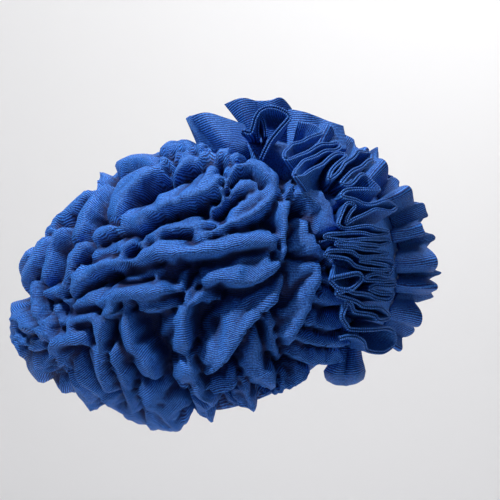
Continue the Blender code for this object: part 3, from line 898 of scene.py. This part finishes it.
def sewn_line(name, points, tree, **sizes):
    """A running stitch along a closed line of points, as a plain mesh."""
    edges = [(i, (i + 1) % len(points)) for i in range(len(points))]
    line = add_object(name + "_line", new_mesh(name + "_line", points, [], edges))
    modifier = line.modifiers.new("stitches", "NODES")
    modifier.node_group = tree
    for item in tree.interface.items_tree:
        if item.in_out == "INPUT" and item.name in sizes:
            modifier[item.identifier] = sizes[item.name]
    evaluated = line.evaluated_get(bpy.context.evaluated_depsgraph_get())
    sewn = add_object(name, bpy.data.meshes.new_from_object(evaluated))
    sewn.data.name = name
    bpy.data.objects.remove(line)
    print(f"{name}: {len(sewn.data.polygons) // THREAD_FACES} stitches")
    return sewn


# %% Hem stitches
HEM_PLACE, THREAD_OUT = 0.03, 0.15       # the line's place on the way up, and how far the threads stand out
thread_finish = bpy.data.materials.new("navy_thread")
thread_finish.use_nodes = True
thread_shader = thread_finish.node_tree.nodes["Principled BSDF"]
thread_shader.inputs["Base Color"].default_value = (0.004, 0.03, 0.16, 1)
thread_shader.inputs["Roughness"].default_value = 0.5
hem_row = int(HEM_PLACE * RINGS)
hem = cloth[hem_row]
hem_normals = np.cross(np.roll(hem, -1, 0) - np.roll(hem, 1, 0), cloth[hem_row + 1] - cloth[hem_row - 1])
hem_normals /= np.linalg.norm(hem_normals, axis=-1, keepdims=True)
hem_stitches = sewn_line(
    "hem_stitches", hem + THREAD_OUT * hem_normals, stitch_tree(thread_finish), Spacing=6.0 * MM, Stitch=3.6 * MM,
)


# %% [markdown]
# ## The knit
# The cloth is a royal blue stretch knit with fine ribs, 1.9 mm apart on the crown and 1.7 mm on the
# ruffles. The colour is bright along the ribs and dark between them, the yarn is flecked, and the
# brightest flecks and rib tops get a painted glint of paler blue. A wave texture on the cloth's own map
# makes the ribs, so they follow every fold, and noise makes the flecks and the soft crumple.

# %% Knit material
def colour_stops(ramp, stops):
    """Sets a ramp's colours at their positions."""
    while len(ramp.color_ramp.elements) < len(stops):
        ramp.color_ramp.elements.new(stops[-1][0])
    for element, (position, colour) in zip(ramp.color_ramp.elements, stops):
        element.position, element.color = position, colour


def knit_material(name, bright, dark, pitch, creased=False):
    """The ribbed knit. pitch is the ribs' distance in millimetres. A creased one reads the crest attribute and
    paints shade into the creases.
    """
    material = bpy.data.materials.new(name)
    material.use_nodes = True
    tree = material.node_tree
    shader = tree.nodes["Principled BSDF"]
    coords = add_node(tree, "ShaderNodeTexCoord")
    cloth_map = add_node(tree, "ShaderNodeUVMap", uv_map="cloth")
    drift = add_node(tree, "ShaderNodeTexNoise", [("Scale", 14)])
    bend = add_node(tree, "ShaderNodeVectorMath", [(1, (0.012, 0.012, 0))], operation="MULTIPLY_ADD")
    ribs = add_node(tree, "ShaderNodeTexWave", [("Scale", math.tau / 20 / (pitch * MM))])
    ribs.bands_direction = "Y" if creased else "X"
    flecks = add_node(tree, "ShaderNodeTexNoise", [("Scale", 900), ("Detail", 3)])
    yarn = add_node(tree, "ShaderNodeMath", [(1, 1.9)], operation="MULTIPLY_ADD")
    halved = add_node(tree, "ShaderNodeMath", [(1, 0.5)], operation="MULTIPLY")
    ramp = add_node(tree, "ShaderNodeValToRGB")
    # painted highlight: the highest yarn values turn a paler blue glint
    painted_glint = (bright[0] * 7, bright[1] * 2.4, bright[2] * 1.45, 1)
    colour_stops(ramp, [(0.42, dark), (0.78, bright), (0.96, painted_glint)])
    fine_bump = add_node(tree, "ShaderNodeBump", [("Distance", 0.4 * MM), ("Strength", 0.7)])
    crumple = add_node(tree, "ShaderNodeTexNoise", [("Scale", 95), ("Detail", 1.5)])
    soft_bump = add_node(tree, "ShaderNodeBump", [("Distance", 3.0 * MM), ("Strength", 0.4)])
    join(
        tree,
        (coords, "Object", drift, "Vector"),
        (drift, "Color", bend, 0),
        (cloth_map, "UV", bend, 2),
        (bend, "Vector", ribs, "Vector"),
        (coords, "Object", flecks, "Vector"),
        (flecks, "Fac", yarn, 0),
        (ribs, "Fac", yarn, 2),
        (yarn, 0, halved, 0),
        (halved, 0, ramp, "Fac"),
        (yarn, 0, fine_bump, "Height"),
        (coords, "Object", crumple, "Vector"),
        (crumple, "Fac", soft_bump, "Height"),
        (soft_bump, "Normal", fine_bump, "Normal"),
        (fine_bump, "Normal", shader, "Normal"),
    )
    if creased:                                      # painted shade: the deep creases are darkened, the crests keep the knit's own colour
        crest = add_node(tree, "ShaderNodeAttribute", attribute_name="crest")
        # painted shade: a dark blue multiplied into the knit where the crest share is low
        depth = add_node(tree, "ShaderNodeValToRGB")
        colour_stops(depth, [(0.20, (0.09, 0.11, 0.20, 1)), (0.75, (1, 1, 1, 1))])
        shade = add_node(tree, "ShaderNodeMix", data_type="RGBA", blend_type="MULTIPLY")
        shade.inputs["Factor"].default_value = 1.0
        join(
            tree,
            (crest, "Fac", depth, "Fac"),
            (ramp, "Color", shade, "A"),
            (depth, "Color", shade, "B"),
            (shade, "Result", shader, "Base Color"),
        )
    else:
        join(tree, (ramp, "Color", shader, "Base Color"))
    for socket, value in (
        ("Roughness", 0.62), ("Sheen Weight", 0.12), ("Sheen Roughness", 0.45),
        ("Sheen Tint", (0.15, 0.45, 1.0, 1.0)), ("Specular IOR Level", 0.35),
    ):
        shader.inputs[socket].default_value = value
    return material


BRIGHT, DARK = (0.009, 0.122, 0.62, 1), (0.001, 0.008, 0.060, 1)
# painted shade: the ruffles are the same knit, with the bright colour dimmed to 0.82 of the crown's
SHADED_RUFFLE_BRIGHT = tuple(0.82 * v for v in BRIGHT[:3]) + (1,)
crown_knit = knit_material("ribbed_knit", BRIGHT, DARK, pitch=1.9, creased=True)
ruffle_knit = knit_material("ribbed_knit_doubled_shaded", SHADED_RUFFLE_BRIGHT, DARK, pitch=1.7)
print("knit materials:", crown_knit.name, ruffle_knit.name)


# %% [markdown]
# ## Every piece takes its solid's place
# Each fine piece rides on the one body of the cap and hides its solid. The loop's inner curl and
# the hem's threads have no solid of their own.

# %% Bodies and slots
Cut = namedtuple("Cut", "wide long")               # metres, laid flat; the strips are measured folded double
crown.data.materials.append(crown_knit)
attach(crown, "root")
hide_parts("crown")
for node, piece in strips.items():
    piece.data.materials.append(ruffle_knit)
    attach(piece, "root")
    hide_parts(node)
inner_loop.data.materials.append(ruffle_knit)
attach(inner_loop, "root")
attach(hem_stitches, "root")


# %% [markdown]
# ## Light, wall and floor
# Soft daylight comes from the upper left in front of a near-white wall.

# %% Stage
WALL = (0.835, 0.835, 0.848, 1)
WALL_Y, FLOOR_Z = 1.75, -0.6             # metres: the wall stands far enough back for a look from behind
FLOOR_BACK = WALL_Y + 0.05


def stage_plane(name, corners):
    plane_mesh = bpy.data.meshes.new(name)
    plane_mesh.from_pydata(corners, [], [(0, 1, 2, 3)])
    made = add_object(name, plane_mesh)
    material = bpy.data.materials.new(name + "_finish")
    material.use_nodes = True
    shader = material.node_tree.nodes["Principled BSDF"]
    shader.inputs["Base Color"].default_value = WALL
    shader.inputs["Roughness"].default_value = 0.9
    plane_mesh.materials.append(material)


stage_plane("backdrop", [(-3, WALL_Y, -1), (3, WALL_Y, -1), (3, WALL_Y, 3), (-3, WALL_Y, 3)])
stage_plane("floor", [(-3, -3, FLOOR_Z), (3, -3, FLOOR_Z), (3, FLOOR_BACK, FLOOR_Z), (-3, FLOOR_BACK, FLOOR_Z)])


# %% Lights
def area_light(name, place, target, size, power, colour=(1, 1, 1)):
    """A round light of a size in metres and a power in watts, which shines from its place to a target."""
    data = bpy.data.lights.new(name, "AREA")
    data.shape, data.size, data.energy, data.color = "DISK", size, power, colour
    made = add_object(name, data)
    made.location = place
    made.rotation_euler = (Vector(target) - Vector(place)).to_track_quat("-Z", "Y").to_euler()


area_light("window", (-0.85, -0.7, 1.6), (0, 0, 0.08), 0.22, 34, (1.0, 0.98, 0.95))
area_light("fill", (1.2, -1.8, 0.6), (0, 0, 0.08), 1.0, 1.8, (0.9, 0.95, 1.0))
area_light("top_light", (0.3, 0.25, 1.9), (0.2, 0.9, 0.2), 1.2, 25)
area_light("wall_light", (0.75, 0.75, 1.1), (0.6, WALL_Y, 0.6), 1.0, 7, (1.0, 0.985, 0.97))
world = bpy.data.worlds.new("room")
world.use_nodes = True
world.node_tree.nodes["Background"].inputs["Color"].default_value = (0.85, 0.9, 1.0, 1)
world.node_tree.nodes["Background"].inputs["Strength"].default_value = 0.10
bpy.context.scene.world = world
bpy.context.scene.view_settings.view_transform = "Standard"


# %% Update the scene
bpy.context.view_layer.update()
